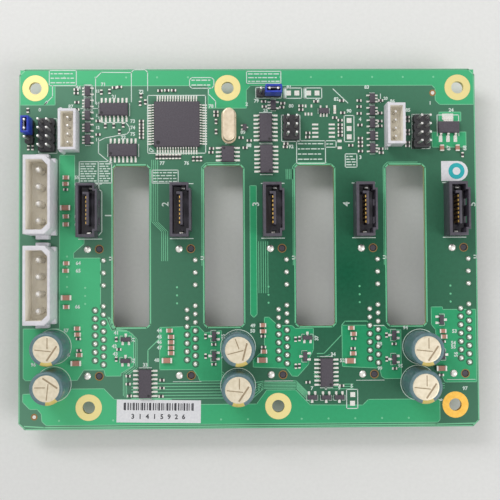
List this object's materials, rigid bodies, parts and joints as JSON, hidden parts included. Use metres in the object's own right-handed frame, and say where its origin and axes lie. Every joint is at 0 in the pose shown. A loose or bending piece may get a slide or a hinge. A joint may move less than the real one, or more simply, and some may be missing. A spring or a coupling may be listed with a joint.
{
  "type": "drive backplane board",
  "caption": "Green circuit board with hot-swap drive sockets underneath, keyed cable headers, white power headers, chips and air slots between the bays.",
  "frame": {"origin": "centre of the board's outline, on the plane of the drive sockets' mating faces", "axes": "+X along the row of bays, +Y across it towards the edge with the controller chip, +Z from the drive side to the cable side"},
  "size_m": [0.1406, 0.1102, 0.0217],
  "materials": {
    "laminate": "green solder mask over glass laminate",
    "socket_moulding": "black glass-filled moulding",
    "header_moulding": "dark grey moulding",
    "nylon": "natural white nylon",
    "gold_contact": "gold-flashed contact",
    "tinned_metal": "bright tin plating",
    "chip_moulding": "dark epoxy moulding",
    "ceramic_chip": "pinkish brown ceramic",
    "capacitor_can": "sleeved can",
    "drawn_can": "drawn metal can",
    "jumper_moulding": "blue moulding",
    "label_paper": "printed label",
    "lamp_lens": "clear lens"
  },
  "bodies": {
    "root": {"circuit_board": "laminate", "drive_socket_1": "socket_moulding", "drive_contacts_1": "gold_contact", "cable_header_1": "header_moulding", "cable_contacts_1": "gold_contact", "drive_socket_2": "socket_moulding", "drive_contacts_2": "gold_contact", "cable_header_2": "header_moulding", "cable_contacts_2": "gold_contact", "drive_socket_3": "socket_moulding", "drive_contacts_3": "gold_contact", "cable_header_3": "header_moulding", "cable_contacts_3": "gold_contact", "drive_socket_4": "socket_moulding", "drive_contacts_4": "gold_contact", "cable_header_4": "header_moulding", "cable_contacts_4": "gold_contact", "drive_socket_5": "socket_moulding", "drive_contacts_5": "gold_contact", "cable_header_5": "header_moulding", "cable_contacts_5": "gold_contact", "cable_header_hold_downs": "tinned_metal", "power_header_upper": "nylon", "power_pins_upper": "tinned_metal", "power_header_lower": "nylon", "power_pins_lower": "tinned_metal", "bus_header_left": "nylon", "bus_pins_left": "tinned_metal", "sideband_header_left": "header_moulding", "sideband_pins_left": "gold_contact", "bus_header_right": "nylon", "bus_pins_right": "tinned_metal", "sideband_header_right": "header_moulding", "sideband_pins_right": "gold_contact", "status_header": "header_moulding", "status_pins": "gold_contact", "jumper_header_top": "header_moulding", "jumper_pins_top": "gold_contact", "jumper_cap_top": "jumper_moulding", "jumper_clip_top": "tinned_metal", "jumper_header_side": "header_moulding", "jumper_pins_side": "gold_contact", "jumper_cap_side": "jumper_moulding", "jumper_clip_side": "tinned_metal", "controller_chip": "chip_moulding", "logic_chips": "chip_moulding", "memory_chip": "chip_moulding", "regulator": "chip_moulding", "gate_chips": "chip_moulding", "transistors": "chip_moulding", "controller_leads": "tinned_metal", "logic_leads": "tinned_metal", "memory_leads": "tinned_metal", "regulator_leads": "tinned_metal", "crystal": "drawn_can", "capacitors": "capacitor_can", "chip_capacitors": "ceramic_chip", "indicator": "lamp_lens", "serial_label": "label_paper", "inspection_label": "label_paper"}
  },
  "joints": []
}
